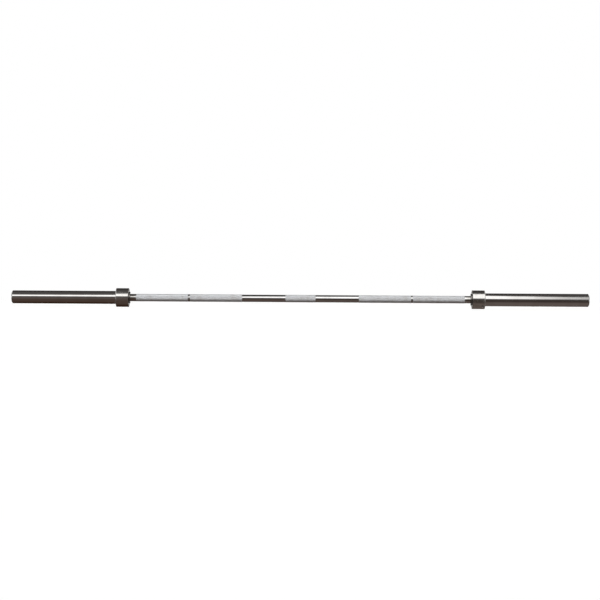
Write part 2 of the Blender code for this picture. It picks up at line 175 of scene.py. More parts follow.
def makeFinish(name):
    given = finishes[name]
    finish = bpy.data.materials.new(name)
    finish.use_nodes = True
    tree = finish.node_tree
    shader = tree.nodes["Principled BSDF"]
    shader.inputs["Metallic"].default_value = given.get("metallic", 1.0)

    # Where a point is: on the piece, on its rings along the bar and circles across it, how far
    # from the bar's axis, and how far from its middle
    piece = addNode(tree, "ShaderNodeTexCoord").outputs["Object"]
    split = addNode(tree, "ShaderNodeSeparateXYZ", {0: piece})
    across = addNode(tree, "ShaderNodeCombineXYZ", {"Y": split.outputs["Y"], "Z": split.outputs["Z"]})
    radius = addNode(tree, "ShaderNodeVectorMath", {0: across}, operation="LENGTH").outputs["Value"]
    turned = addNode(tree, "ShaderNodeCombineXYZ", {"X": split.outputs["X"], "Y": radius}).outputs[0]
    along = addNode(tree, "ShaderNodeMath", {0: split.outputs["X"]}, operation="ABSOLUTE")
    places = {"piece": piece, "turned": turned, "radius": radius, "along": along}

    colour, roughness = linear(given["colour"]), given["roughness"]
    for pattern in given["patterns"]:
        value = places[pattern["on"]]
        if "texture" in pattern:
            scaled = addNode(tree, "ShaderNodeMapping",
                             {"Vector": value, "Scale": [1 / (size * mm) for size in pattern["size"]]})
            texture = addNode(tree, "ShaderNodeTex" + pattern["texture"],
                              {"Vector": scaled, "Scale": 1.0, **textureDetails[pattern["texture"]]})
            value = texture.outputs["Fac" if "Fac" in texture.outputs else "Distance"]
        low, high = pattern["range"]
        grown = addNode(tree, "ShaderNodeMapRange", {"Value": value, "From Min": low, "From Max": high},
                        interpolation_type="SMOOTHSTEP").outputs["Result"]
        if "colour" in pattern:
            # Each colour pattern mixes in a stain, wear or tone, and in some finishes painted shade
            stainAndShadeShare = addNode(tree, "ShaderNodeMath", {0: grown, 1: pattern["share"]}, operation="MULTIPLY")
            colour = addNode(tree, "ShaderNodeMix", {0: stainAndShadeShare, 6: colour, 7: linear(pattern["colour"])},
                             data_type="RGBA").outputs[2]
        if "roughness" in pattern:
            roughness = addNode(tree, "ShaderNodeMath", {0: grown, 1: pattern["roughness"], 2: roughness},
                                operation="MULTIPLY_ADD").outputs[0]
        if "relief" in pattern:
            bump = addNode(tree, "ShaderNodeBump", {"Height": grown, "Distance": pattern["relief"] * mm})
            tree.links.new(bump.outputs["Normal"], shader.inputs["Normal"])
    tree.links.new(colour, shader.inputs["Base Color"])
    tree.links.new(roughness, shader.inputs["Roughness"])
    return finish


made = {name: makeFinish(name) for name in finishes}
print("finishes made:", len(made))


# Turned pieces

# Rounds the corners of a turned outline, given as (radius, along, rounding). Rings just beside
# each round keep the shading of the long faces true.
def roundOff(corners, arcSteps=6, guard=0.25 * mm):
    outline = []
    for k, (radius, along, rounding) in enumerate(corners):
        here = Vector((radius, along))
        if not rounding:
            outline.append(here)
            continue
        back = (Vector(corners[k - 1][:2]) - here).normalized()
        on = (Vector(corners[(k + 1) % len(corners)][:2]) - here).normalized()
        half = back.angle(on) / 2
        start = here + back * rounding / math.tan(half)
        end = here + on * rounding / math.tan(half)
        centre = here + (back + on).normalized() * rounding / math.sin(half)
        first = math.atan2(*reversed(start - centre))
        sweep = (math.atan2(*reversed(end - centre)) - first + math.pi) % math.tau - math.pi
        outline.append(start + back * guard)
        for step in range(arcSteps + 1):
            angle = first + sweep * step / arcSteps
            outline.append(centre + rounding * Vector((math.cos(angle), math.sin(angle))))
        outline.append(end + on * guard)
    return outline


# Turns an outline about the bar. A point that also carries the word "hex" gives a hexagon
# instead of a circle, and a point on the axis closes the end.
def turnPiece(name, outline, place, closed=True, steps=turnSteps):
    shape = bmesh.new()
    rings = []
    for radius, along, *sixSided in outline:
        ring = []
        for k in range(steps if radius > joinDistance else 1):
            angle = math.tau * k / steps
            flat = math.cos(math.pi / 6) / math.cos((angle % (math.pi / 3)) - math.pi / 6)
            reach = radius * (flat if sixSided else 1.0)
            ring.append(shape.verts.new((reach * math.cos(angle), reach * math.sin(angle), along)))
        rings.append(ring * (steps if len(ring) == 1 else 1))
    if closed:
        rings.append(rings[0])
    for ring, following in zip(rings, rings[1:]):
        for k in range(steps):
            beside = (k + 1) % steps
            shape.faces.new(dict.fromkeys((ring[k], ring[beside], following[beside], following[k])))
    bmesh.ops.recalc_face_normals(shape, faces=shape.faces)
    shape.transform(place)
    return meshPiece(name, shape)


def meshPiece(name, shape):
    mesh = bpy.data.meshes.new(name)
    shape.to_mesh(mesh)
    shape.free()
    mesh.shade_smooth()
    mesh.set_sharp_from_angle(angle=sharpEdge)
    piece = bpy.data.objects.new(name, mesh)
    bpy.context.scene.collection.objects.link(piece)
    return piece


# The finished mesh of a piece with its modifiers worked in, and without slivers
def settle(piece):
    graph = bpy.context.evaluated_depsgraph_get()
    settled = bpy.data.meshes.new_from_object(piece.evaluated_get(graph))
    piece.modifiers.clear()
    piece.data = settled
    shape = bmesh.new()
    shape.from_mesh(settled)
    bmesh.ops.dissolve_degenerate(shape, dist=sliverWidth, edges=shape.edges)
    shape.to_mesh(settled)
    shape.free()
    settled.shade_smooth()
    settled.set_sharp_from_angle(angle=sharpEdge)


def cutHole(piece, cutter):
    hole = piece.modifiers.new("hole", "BOOLEAN")
    hole.operation = "DIFFERENCE"
    hole.solver = "EXACT"
    hole.object = cutter
    settle(piece)
    bpy.data.objects.remove(cutter)


def dress(piece, finish, body, slotName, *replaced):
    piece.data.materials.clear()
    piece.data.materials.append(made[finish])
    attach(piece, body)
    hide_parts(*replaced)


# In a side's own frame, Z runs outwards along the bar
def sideFrame(side, turned):
    outward = Matrix.Rotation(sides[side] * math.pi / 2, 4, "Y")
    return outward @ Matrix.Rotation(math.radians(sleeveRest[side] if turned else 0), 4, "Z")


# A node's reach along the bar from its centre, and its radius
def nodeReach(name):
    low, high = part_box(name)
    near, far = sorted((abs(low.x), abs(high.x)))
    return near, far, max(high.z, -low.z)


# Shaft

shaftSizes = {
    "radius": 14.0 * mm,
    "core": 13.6 * mm,  # under the knurled bands
    "journal": 12.5 * mm,  # inside the sleeves
    "centreKnurl": 57.5 * mm,  # half its length
    "gripKnurl": (222 * mm, 626.8 * mm),  # from the bar's middle, as the next two
    "ringMark": (422 * mm, 428 * mm),
    "ringGroove": (1084.1 * mm, 1086.7 * mm),
    "ringGrooveDepth": 1.0 * mm,
    "tipRound": 1.0 * mm,
    "shoulderRound": 0.5 * mm,
    "bandRound": 0.3 * mm,
    "lineWidth": 0.35 * mm,  # the fine line that the knurling tool leaves at each band's ends
    "guard": 0.6 * mm,  # from a round to the ring beside it
}
knurlSizes = {
    "edge": 14.0 * mm,  # the radius at a band's ends, where the pattern fades out
    "inner": 13.64 * mm,  # the radius of its bore
    "around": 60,  # diamonds round the bar, 1.47 mm each
    "diamondLength": 2.4 * mm,
    "fade": 2.0 * mm,  # how far the pattern takes to reach its full depth
    "sharpGroove": 12,  # degrees, so that every facet is flat
}


def makeShaft():
    radius, core, journal = (shaftSizes[key] for key in ("radius", "core", "journal"))
    gripStart, gripEnd = shaftSizes["gripKnurl"]
    markStart, markEnd = shaftSizes["ringMark"]
    grooveStart, grooveEnd = shaftSizes["ringGroove"]
    grooveFloor, bandRound = journal - shaftSizes["ringGrooveDepth"], shaftSizes["bandRound"]
    shoulder = nodeReach("left_thrust_ring")[0] - seatGap
    tip = nodeReach("shaft")[1]
    half = [(0, tip, 0), (journal, tip, shaftSizes["tipRound"]), (journal, grooveEnd, 0),
            (grooveFloor, grooveEnd, 0), (grooveFloor, grooveStart, 0), (journal, grooveStart, 0),
            (journal, shoulder, 0), (radius, shoulder, shaftSizes["shoulderRound"])]
    plainStretches = ((gripEnd, shoulder), (markStart, markEnd), (shaftSizes["centreKnurl"], gripStart))
    for start, end in plainStretches:
        if end < shoulder:
            half += [(core, end, 0), (radius, end, bandRound)]
        half += [(radius, start, bandRound), (core, start, 0)]
    both = half + [(reach, -along, rounding) for reach, along, rounding in reversed(half)]
    outline = roundOff(both, guard=shaftSizes["guard"])
    shaft = turnPiece("shaft_bar", outline, sideFrame("right", False), closed=False)
    dress(shaft, "drawnBarChrome", "shaft", "shaft_chrome", "shaft")


# The knurl follows a rule: every second point of a grid is a diamond's point, the rest lie in the grooves
def knurlTree():
    tree = bpy.data.node_groups.new("diamondKnurl", "GeometryNodeTree")
    tree.is_modifier = True
    for name, kind in (("Start", "Float"), ("Length", "Float"), ("Crest", "Float"), ("Valley", "Float"),
                       ("Edge", "Float"), ("Inner", "Float"), ("Fade", "Float"), ("Columns", "Int"),
                       ("Rows", "Int")):
        tree.interface.new_socket(name, in_out="INPUT", socket_type="NodeSocket" + kind)
    tree.interface.new_socket("Geometry", in_out="OUTPUT", socket_type="NodeSocketGeometry")
    given = addNode(tree, "NodeGroupInput").outputs

    # A flat grid, one unit round the bar
    columns = addNode(tree, "ShaderNodeMath", {0: given["Columns"], 1: 1.0}, operation="ADD")
    rows = addNode(tree, "ShaderNodeMath", {0: given["Rows"], 1: 1.0}, operation="ADD")
    grid = addNode(tree, "GeometryNodeMeshGrid",
                   {"Size X": given["Length"], "Size Y": 1.0, "Vertices X": columns, "Vertices Y": rows})
    place = addNode(tree, "ShaderNodeSeparateXYZ", {0: addNode(tree, "GeometryNodeInputPosition")})
    index = addNode(tree, "GeometryNodeInputIndex")
    isPoint = addNode(tree, "ShaderNodeMath", {0: index, 1: 2.0}, operation="MODULO")

    # Depth fades in from both ends of the band
    halfLength = addNode(tree, "ShaderNodeMath", {0: given["Length"], 1: 0.5}, operation="MULTIPLY")
    fromMiddle = addNode(tree, "ShaderNodeMath", {0: place.outputs["X"]}, operation="ABSOLUTE")
    fromEnd = addNode(tree, "ShaderNodeMath", {0: halfLength, 1: fromMiddle}, operation="SUBTRACT")
    fade = addNode(tree, "ShaderNodeMapRange",
                   {"Value": fromEnd, "From Max": given["Fade"]}).outputs["Result"]
    full = addNode(tree, "ShaderNodeMapRange",
                   {"Value": isPoint, "To Min": given["Valley"], "To Max": given["Crest"]}).outputs["Result"]
    radius = addNode(tree, "ShaderNodeMapRange",
                     {"Value": fade, "To Min": given["Edge"], "To Max": full}).outputs["Result"]

    # Wrapped round the bar, with the seam closed
    angle = addNode(tree, "ShaderNodeMath", {0: place.outputs["Y"], 1: -math.tau}, operation="MULTIPLY")
    cosine = addNode(tree, "ShaderNodeMath", {0: angle}, operation="COSINE")
    sine = addNode(tree, "ShaderNodeMath", {0: angle}, operation="SINE")
    middle = addNode(tree, "ShaderNodeMath", {0: given["Start"], 1: halfLength}, operation="ADD")
    wrapped = addNode(tree, "ShaderNodeCombineXYZ", {
        "X": addNode(tree, "ShaderNodeMath", {0: place.outputs["X"], 1: middle}, operation="ADD"),
        "Y": addNode(tree, "ShaderNodeMath", {0: radius, 1: cosine}, operation="MULTIPLY"),
        "Z": addNode(tree, "ShaderNodeMath", {0: radius, 1: sine}, operation="MULTIPLY")})
    rolled = addNode(tree, "GeometryNodeSetPosition", {"Geometry": grid.outputs["Mesh"], "Position": wrapped})
    joined = addNode(tree, "GeometryNodeMergeByDistance", {"Geometry": rolled, "Distance": joinDistance})
    diamonds = addNode(tree, "GeometryNodeTriangulate", {0: joined}, quad_method="SHORTEST_DIAGONAL")

    # The end walls, and a bore that joins them
    neighbours = addNode(tree, "GeometryNodeInputMeshEdgeNeighbors")
    isEdge = addNode(tree, "FunctionNodeCompare", {2: neighbours.outputs["Face Count"], 3: 1},
                     data_type="INT", operation="EQUAL")
    walls = addNode(tree, "GeometryNodeExtrudeMesh",
                    {"Mesh": diamonds, "Selection": isEdge, "Offset Scale": 0.0}, mode="EDGES")
    here = addNode(tree, "ShaderNodeSeparateXYZ", {0: addNode(tree, "GeometryNodeInputPosition")})
    across = addNode(tree, "ShaderNodeCombineXYZ", {"Y": here.outputs["Y"], "Z": here.outputs["Z"]})
    pointing = addNode(tree, "ShaderNodeVectorMath", {0: across}, operation="NORMALIZE")
    inward = addNode(tree, "ShaderNodeVectorMath", {0: pointing, "Scale": given["Inner"]}, operation="SCALE")
    onBore = addNode(tree, "ShaderNodeVectorMath",
                     {0: inward, 1: addNode(tree, "ShaderNodeCombineXYZ", {"X": here.outputs["X"]})},
                     operation="ADD")
    narrowed = addNode(tree, "GeometryNodeSetPosition",
                       {"Geometry": walls.outputs["Mesh"], "Selection": walls.outputs["Top"],
                        "Position": onBore})
    isStart = addNode(tree, "FunctionNodeCompare", {0: here.outputs["X"], 1: middle},
                      data_type="FLOAT", operation="LESS_THAN")
    startRing = addNode(tree, "FunctionNodeBooleanMath", {0: walls.outputs["Top"], 1: isStart},
                        operation="AND")
    bore = addNode(tree, "GeometryNodeExtrudeMesh",
                   {"Mesh": narrowed, "Selection": startRing, "Offset Scale": 0.0}, mode="EDGES")
    through = addNode(tree, "ShaderNodeCombineXYZ", {"X": given["Length"]})
    bored = addNode(tree, "GeometryNodeSetPosition",
                    {"Geometry": bore.outputs["Mesh"], "Selection": bore.outputs["Top"], "Offset": through})
    sealed = addNode(tree, "GeometryNodeMergeByDistance", {"Geometry": bored, "Distance": joinDistance})
    real = addNode(tree, "GeometryNodeRealizeInstances", {0: sealed})
    coated = addNode(tree, "GeometryNodeSetMaterial", {"Geometry": real, "Material": made["knurlChrome"]})
    addNode(tree, "NodeGroupOutput", {0: coated})
    return tree


def makeKnurlBand(name, start, end, tree):
    start, end = start + shaftSizes["lineWidth"], end - shaftSizes["lineWidth"]
    band = meshPiece(name, bmesh.new())
    knurling = band.modifiers.new("knurling", "NODES")
    knurling.node_group = tree
    # Even numbers of columns and rows, so that points and grooves take turns both ways
    values = {"Start": start, "Length": end - start, "Crest": knurlDepth["crest"],
              "Valley": knurlDepth["valley"], "Edge": knurlSizes["edge"], "Inner": knurlSizes["inner"],
              "Fade": knurlSizes["fade"], "Rows": 2 * knurlSizes["around"],
              "Columns": 2 * round((end - start) / knurlSizes["diamondLength"])}
    for item in tree.interface.items_tree:
        if item.in_out == "INPUT":
            knurling[item.identifier] = values[item.name]
    settle(band)
    band.data.set_sharp_from_angle(angle=math.radians(knurlSizes["sharpGroove"]))
    dress(band, "knurlChrome", "shaft", "shaft_chrome", "shaft")
    print(name, len(band.data.polygons), "faces")


def makeKnurlBands():
    tree = knurlTree()
    centreHalf = shaftSizes["centreKnurl"]
    gripStart, gripEnd = shaftSizes["gripKnurl"]
    markStart, markEnd = shaftSizes["ringMark"]
    makeKnurlBand("knurl_centre", -centreHalf, centreHalf, tree)
    makeKnurlBand("knurl_right_inner", gripStart, markStart, tree)
    makeKnurlBand("knurl_right_outer", markEnd, gripEnd, tree)
    makeKnurlBand("knurl_left_inner", -markStart, -gripStart, tree)
    makeKnurlBand("knurl_left_outer", -gripEnd, -markEnd, tree)


makeShaft()
makeKnurlBands()
print("shaft and knurl made")


# Thrust rings

thrustRingSizes = {
    "bore": 12.8 * mm,
    "grooveRadius": 15.5 * mm,  # the dust seal's groove
    "grooveHalf": 1.5 * mm,  # half its width
    "round": 1.2 * mm,  # towards the grips
    "edge": 0.4 * mm,
    "guard": 0.15 * mm,
}


def makeThrustRing(side):
    near, far, radius = nodeReach(side + "_thrust_ring")
    middle = (near + far) / 2
    bore, groove = thrustRingSizes["bore"], thrustRingSizes["grooveRadius"]
    half, edge = thrustRingSizes["grooveHalf"], thrustRingSizes["edge"]
    outline = roundOff([
        (radius, far, edge), (radius, near, thrustRingSizes["round"]), (bore, near, edge),
        (bore, middle - half, 0), (groove, middle - half, 0), (groove, middle + half, 0),
        (bore, middle + half, 0), (bore, far, edge)], guard=thrustRingSizes["guard"])
    ring = turnPiece(side + "_thrust_ring_turned", outline, sideFrame(side, False))
    dress(ring, "turnedRingSteel", "shaft", "ring_steel", side + "_thrust_ring")


# Sleeves

sleeveSizes = {
    "endChamfer": 2.8 * mm,
    "edge": 0.5 * mm,
    "bore": 16.0 * mm,  # radii, down to the ring's groove
    "bushingSeat": 17.1 * mm,
    "flangeSeat": 18.9 * mm,
    "capSeat": 18.3 * mm,
    "ringGroove": 19.5 * mm,
    "flangeDepth": 3.3 * mm,  # from the inner end, as the next one
    "seatLength": 40.3 * mm,
    "boreRound": 0.2 * mm,
    "capSeatRound": 0.1 * mm,
    "pointHole": 2.1 * mm,  # the screw's point sits in it
    "pointHoleReach": (22.5 * mm, 30.0 * mm),  # of the cut, from the bar's axis
    "pointHoleSteps": 24,
}


def makeSleeve(side):
    near, far, radius = nodeReach(side + "_sleeve_tube")
    capNear = nodeReach(side + "_end_cap")[0] - seatGap
    ringNear, ringFar, _ = nodeReach(side + "_cap_ring")
    grooveNear, grooveFar = ringNear - seatGap, ringFar + seatGap
    outerSeat = nodeReach(side + "_outer_bushing")[0] - seatGap
    innerSeat, flangeSeat = near + sleeveSizes["seatLength"], near + sleeveSizes["flangeDepth"]
    chamfer, edge, boreRound = (sleeveSizes[key] for key in ("endChamfer", "edge", "boreRound"))
    seat, bore, capSeat = (sleeveSizes[key] for key in ("bushingSeat", "bore", "capSeat"))
    groove, flange = sleeveSizes["ringGroove"], sleeveSizes["flangeSeat"]
    collarFar = nodeReach(side + "_collar")[1]
    outline = roundOff([
        (capSeat, far, edge), (radius - chamfer, far, edge), (radius, far - chamfer, 2 * edge),
        (radius, collarFar, 0), (radius, near, edge), (flange, near, boreRound), (flange, flangeSeat, 0),
        (seat, flangeSeat, boreRound), (seat, innerSeat, 0), (bore, innerSeat, boreRound),
        (bore, outerSeat, boreRound), (seat, outerSeat, 0), (seat, capNear, sleeveSizes["capSeatRound"]),
        (capSeat, capNear, 0), (capSeat, grooveNear, 0), (groove, grooveNear, 0), (groove, grooveFar, 0),
        (capSeat, grooveFar, 0)])
    sleeve = turnPiece(side + "_sleeve_chromed", outline, sideFrame(side, True))
    hole, (bottom, top) = sleeveSizes["pointHole"], sleeveSizes["pointHoleReach"]
    cutter = [(0, bottom), (hole, bottom), (hole, top), (0, top)]
    cutHole(sleeve, turnPiece("cutter", cutter, screwFrame(side), closed=False,
                              steps=sleeveSizes["pointHoleSteps"]))
    dress(sleeve, "groundHardChrome", side + "_sleeve", "sleeve_chrome", side + "_sleeve_tube")


# Collars and their set screws

collarSizes = {
    "bore": 25.15 * mm,
    "outerRound": 2.5 * mm,  # towards the plates
    "innerRound": 0.45 * mm,  # towards the grips
    "edge": 0.4 * mm,
    "screwStrip": 5.0 * mm,  # each side of the screw, cut apart so that its hole shades cleanly
}
screwSizes = {
    "place": 10.0 * mm,  # from the collar's outer face
    "angle": -45,  # degrees round the sleeve
    "radius": 3.0 * mm,
    "edge": 0.4 * mm,
    "point": 1.8 * mm,  # a radius
    "pointCone": (0.8 * mm, 0.6 * mm),  # how far it narrows, and over what length
    "socket": 1.73 * mm,  # from its middle to a corner
    "socketDepth": 3.0 * mm,
    "socketCone": 0.6 * mm,  # left by the drill below it
    "mouth": (0.2 * mm, 0.15 * mm),  # how far its chamfer widens, and how deep it is
    "top": 35.0 * mm,  # from the bar's axis, as the next two
    "foot": 25.6 * mm,
    "tip": 22.8 * mm,
    "hole": 3.3 * mm,
    "holeStart": 10.0 * mm,  # where its cut starts, from the bar's axis
    "countersink": 1.0 * mm,
    "steps": 48,
}


# In a screw's own frame, Z runs out from the bar's axis through the screw
def screwFrame(side):
    along = nodeReach(side + "_collar")[1] - screwSizes["place"]
    return (sideFrame(side, True) @ Matrix.Translation((0, 0, along))
            @ Matrix.Rotation(math.radians(screwSizes["angle"]), 4, "Z")
            @ Matrix.Rotation(math.pi / 2, 4, "Y"))


def makeCollar(side):
    near, far, radius = nodeReach(side + "_collar")
    bore, edge, strip = (collarSizes[key] for key in ("bore", "edge", "screwStrip"))
    screwPlace = far - screwSizes["place"]
    outline = roundOff([
        (bore, far, edge), (radius, far, collarSizes["outerRound"]), (radius, screwPlace + strip, 0),
        (radius, screwPlace - strip, 0), (radius, near, collarSizes["innerRound"]), (bore, near, edge)])
    collar = turnPiece(side + "_collar_chromed", outline, sideFrame(side, True))
    hole, start, sink = (screwSizes[key] for key in ("hole", "holeStart", "countersink"))
    cutter = [(0, start), (hole, start), (hole, radius - sink), (hole + 2 * sink, radius + sink),
              (0, radius + sink)]
    cutHole(collar, turnPiece("cutter", cutter, screwFrame(side), closed=False, steps=screwSizes["steps"]))
    dress(collar, "turnedCollarChrome", side + "_sleeve", "collar_chrome", side + "_collar")


def makeScrew(side):
    radius, point, socket, edge = (screwSizes[key] for key in ("radius", "point", "socket", "edge"))
    top, foot, tip = (screwSizes[key] for key in ("top", "foot", "tip"))
    bottom = top - screwSizes["socketDepth"]
    widening, mouthDepth = screwSizes["mouth"]
    narrowing, coneLength = screwSizes["pointCone"]
    outline = [(0, bottom - screwSizes["socketCone"]), (socket, bottom, "hex"),
               (socket, top - mouthDepth, "hex"), (socket + widening, top), (radius - edge, top),
               (radius, top - edge), (radius, foot + edge), (radius - edge, foot), (point, foot),
               (point, tip + coneLength), (point - narrowing, tip), (0, tip)]
    screw = turnPiece(side + "_set_screw", outline, screwFrame(side), closed=False,
                      steps=screwSizes["steps"])
    dress(screw, "blackOxideSteel", side + "_sleeve", "screw_steel", side + "_collar_screw")


# End caps and their retaining rings

capSizes = {
    "flangeHeight": 4.0 * mm,
    "boss": 13.0 * mm,  # the raised middle's radius
    "bossRound": 0.8 * mm,
    "bossFoot": 0.6 * mm,  # the round in the corner at its foot
    "rimRound": 0.4 * mm,
    "backRound": 0.3 * mm,
    "centreRadius": 2.5 * mm,
    "centreDepth": 1.5 * mm,
    "centreRound": 0.3 * mm,
    "facingGroove": (7.4 * mm, 0.8 * mm, 0.25 * mm),  # its radius, width and depth
    "facingRound": 0.1 * mm,
    "guard": 0.08 * mm,
}
capRingSizes = {
    "outer": 19.2 * mm,  # radii
    "inner": 16.6 * mm,
    "lug": 15.3 * mm,
    "lugHole": 0.9 * mm,
    "lugAngle": 17,  # degrees, as the next one
    "opening": 24,
    "edge": 0.15 * mm,
    "edgeSteps": 1,
    "steps": 80,
    "lugSteps": 8,
    "holeSteps": 20,
}


def makeEndCap(side):
    near, far, radius = nodeReach(side + "_end_cap")
    face = near + capSizes["flangeHeight"]
    boss, centre, depth = capSizes["boss"], capSizes["centreRadius"], capSizes["centreDepth"]
    grooveRadius, grooveWidth, grooveDepth = capSizes["facingGroove"]
    facing = capSizes["facingRound"]
    outline = roundOff([
        (0, far - depth, 0), (centre, far, capSizes["centreRound"]),
        (grooveRadius - grooveWidth / 2, far, facing), (grooveRadius, far - grooveDepth, facing),
        (grooveRadius + grooveWidth / 2, far, facing),
        (boss, far, capSizes["bossRound"]), (boss, face, capSizes["bossFoot"]),
        (radius, face, capSizes["rimRound"]), (radius, near, capSizes["backRound"]), (0, near, 0)],
        guard=capSizes["guard"])
    cap = turnPiece(side + "_end_cap_faced", outline, sideFrame(side, True), closed=False)
    dress(cap, "facedCapChrome", side + "_sleeve", "cap_chrome", side + "_end_cap")


def makeCapRing(side):
    near, far, _ = nodeReach(side + "_cap_ring")
    steps, lugSteps, holeSteps = (capRingSizes[key] for key in ("steps", "lugSteps", "holeSteps"))
    gap, lugAngle = math.radians(capRingSizes["opening"] / 2), math.radians(capRingSizes["lugAngle"])
    outer, inner, lug, edge = (capRingSizes[key] for key in ("outer", "inner", "lug", "edge"))

    def arc(radius, first, last, count):
        angles = [first + (last - first) * step / count for step in range(count + 1)]
        return [(radius * math.cos(angle), radius * math.sin(angle)) for angle in angles]

    end = math.tau - gap
    loops = [arc(outer, gap, end, steps) + arc(lug, end, end - lugAngle, lugSteps)
             + arc(inner, end - lugAngle, gap + lugAngle, steps)
             + arc(lug, gap + lugAngle, gap, lugSteps)]
    for angle in (gap + lugAngle / 2, end - lugAngle / 2):
        middle = (outer + lug) / 2
        hole = arc(capRingSizes["lugHole"], 0, math.tau * (holeSteps - 1) / holeSteps, holeSteps - 1)
        loops.append([(x + middle * math.cos(angle), y + middle * math.sin(angle)) for x, y in hole])
    flat = bpy.data.curves.new(side + "_cap_ring_flat", "CURVE")
    flat.dimensions = "2D"
    flat.fill_mode = "BOTH"
    flat.extrude = (far - near) / 2 - edge
    flat.bevel_depth = edge
    flat.bevel_resolution = capRingSizes["edgeSteps"]
    flat.offset = -edge
    for loop in loops:
        spline = flat.splines.new("POLY")
        spline.points.add(len(loop) - 1)
        spline.use_cyclic_u = True
        for point, (x, y) in zip(spline.points, loop):
            point.co = (x, y, 0, 1)
    drawn = bpy.data.objects.new("drawn", flat)
    bpy.context.scene.collection.objects.link(drawn)
    shape = bmesh.new()
    shape.from_mesh(drawn.to_mesh())
    drawn.to_mesh_clear()
    bpy.data.objects.remove(drawn)
    bmesh.ops.remove_doubles(shape, verts=shape.verts, dist=joinDistance)
    bmesh.ops.recalc_face_normals(shape, faces=shape.faces)
    shape.transform(sideFrame(side, True) @ Matrix.Translation((0, 0, (near + far) / 2)))
    ring = meshPiece(side + "_snap_ring", shape)
    dress(ring, "phosphatedSpringSteel", side + "_sleeve", "spring_steel", side + "_cap_ring")


for side in sides:
    makeThrustRing(side)
    makeSleeve(side)
    makeCollar(side)
    makeScrew(side)
    makeEndCap(side)
    makeCapRing(side)
    print(side, "sleeve made")


# The pieces inside keep their solids, with their own finishes
innerFinishes = {
    "dust_seal": ("mouldedSealRubber", "seal_rubber"),
    "inner_bushing": ("sinteredBronze", "bushing_bronze"),
    "outer_bushing": ("sinteredBronze", "bushing_bronze"),
    "thrust_washer": ("groundWasherSteel", "washer_steel"),
    "shaft_ring": ("phosphatedSpringSteel", "spring_steel"),
}
for side in sides:
    for piece, (finish, slotName) in innerFinishes.items():
        node = nodes[side + "_" + piece]
        node.material_slots[0].material = made[finish]
print("inner pieces finished")


# Studio

# Soft edges in the room round the bar: what each one follows, where it starts and ends, and its
# values there. "rise" is the angle in degrees up from straight in front of the bar, over its top,
# so that 90 is overhead and 180 behind. "right" runs from -1 at the left to 1 at the right.
studioEdges = {
    "boxFoot": ("rise", 12, 20, 0.0, 1.0),  # the soft box in front starts above the horizon
    "boxTop": ("right", -0.20, 0.14, 38.0, 80.0),  # it is taller to the right
    "boxDrop": ("right", 0.085, 0.18, 0.0, 22.0),  # except at its end
    "boxLevel": ("right", 0.115, 0.195, 1.95, 0.6),  # where it grows dim
    "panelFoot": ("rise", -60, 50, 0.12, 2.7),  # panels at the sides, which light the knurl
    "panelHead": ("rise", 78, 112, 1.0, 0.3),
    "leftPanel": ("right", -0.46, -0.34, 1.0, 0.0),
    "rightPanel": ("right", 0.22, 0.32, 0.0, 1.0),
    "leftPanelFar": ("right", -0.72, -0.56, 0.42, 1.0),
    "rightPanelFar": ("right", 0.42, 0.58, 1.0, 0.42),
    "leftPanelEnd": ("right", -0.92, -0.75, 0.25, 1.0),
    "rightPanelEnd": ("right", 0.72, 0.85, 1.0, 0.12),
    "overheadTone": ("rise", 60, 125, 0.0, 1.0),
    "floorLeftTone": ("rise", -120, -75, 0.0, 1.0),
    "floorLeftNear": ("rise", -50, -10, 0.0, 1.0),
    "floorRightTone": ("rise", -60, -25, 0.0, 1.0),
    "floorSide": ("right", -0.15, 0.12, 0.0, 1.0),
    "horizon": ("rise", -9, 9, 0.0, 1.0),
    "backdrop": ("turnedAway", 156, 164, 0.0, 1.0),  # the white backdrop behind the bar
}
studioSizes = {
    "boxSoftness": 8,  # degrees each side of the soft box's top edge
    "roomColours": {"overheadNear": "#666463", "overheadFar": "#474443", "floorLeftFar": "#38220F",
                    "floorLeft": "#594A42", "floorLeftNear": "#6B625E", "floorRightFar": "#746964",
                    "floorRight": "#4A413C"},
    "floorHalf": 14.0,  # half the floor's width, in metres
    "floorDrop": 0.1 * mm,  # below the collars, which stand on it
    "floorGlow": 0.3,
    "paperFibre": 25 * mm,
    "paperDetail": 2.0,
    "paperColours": ("#F4F4F3", "#F0F0EF"),
}


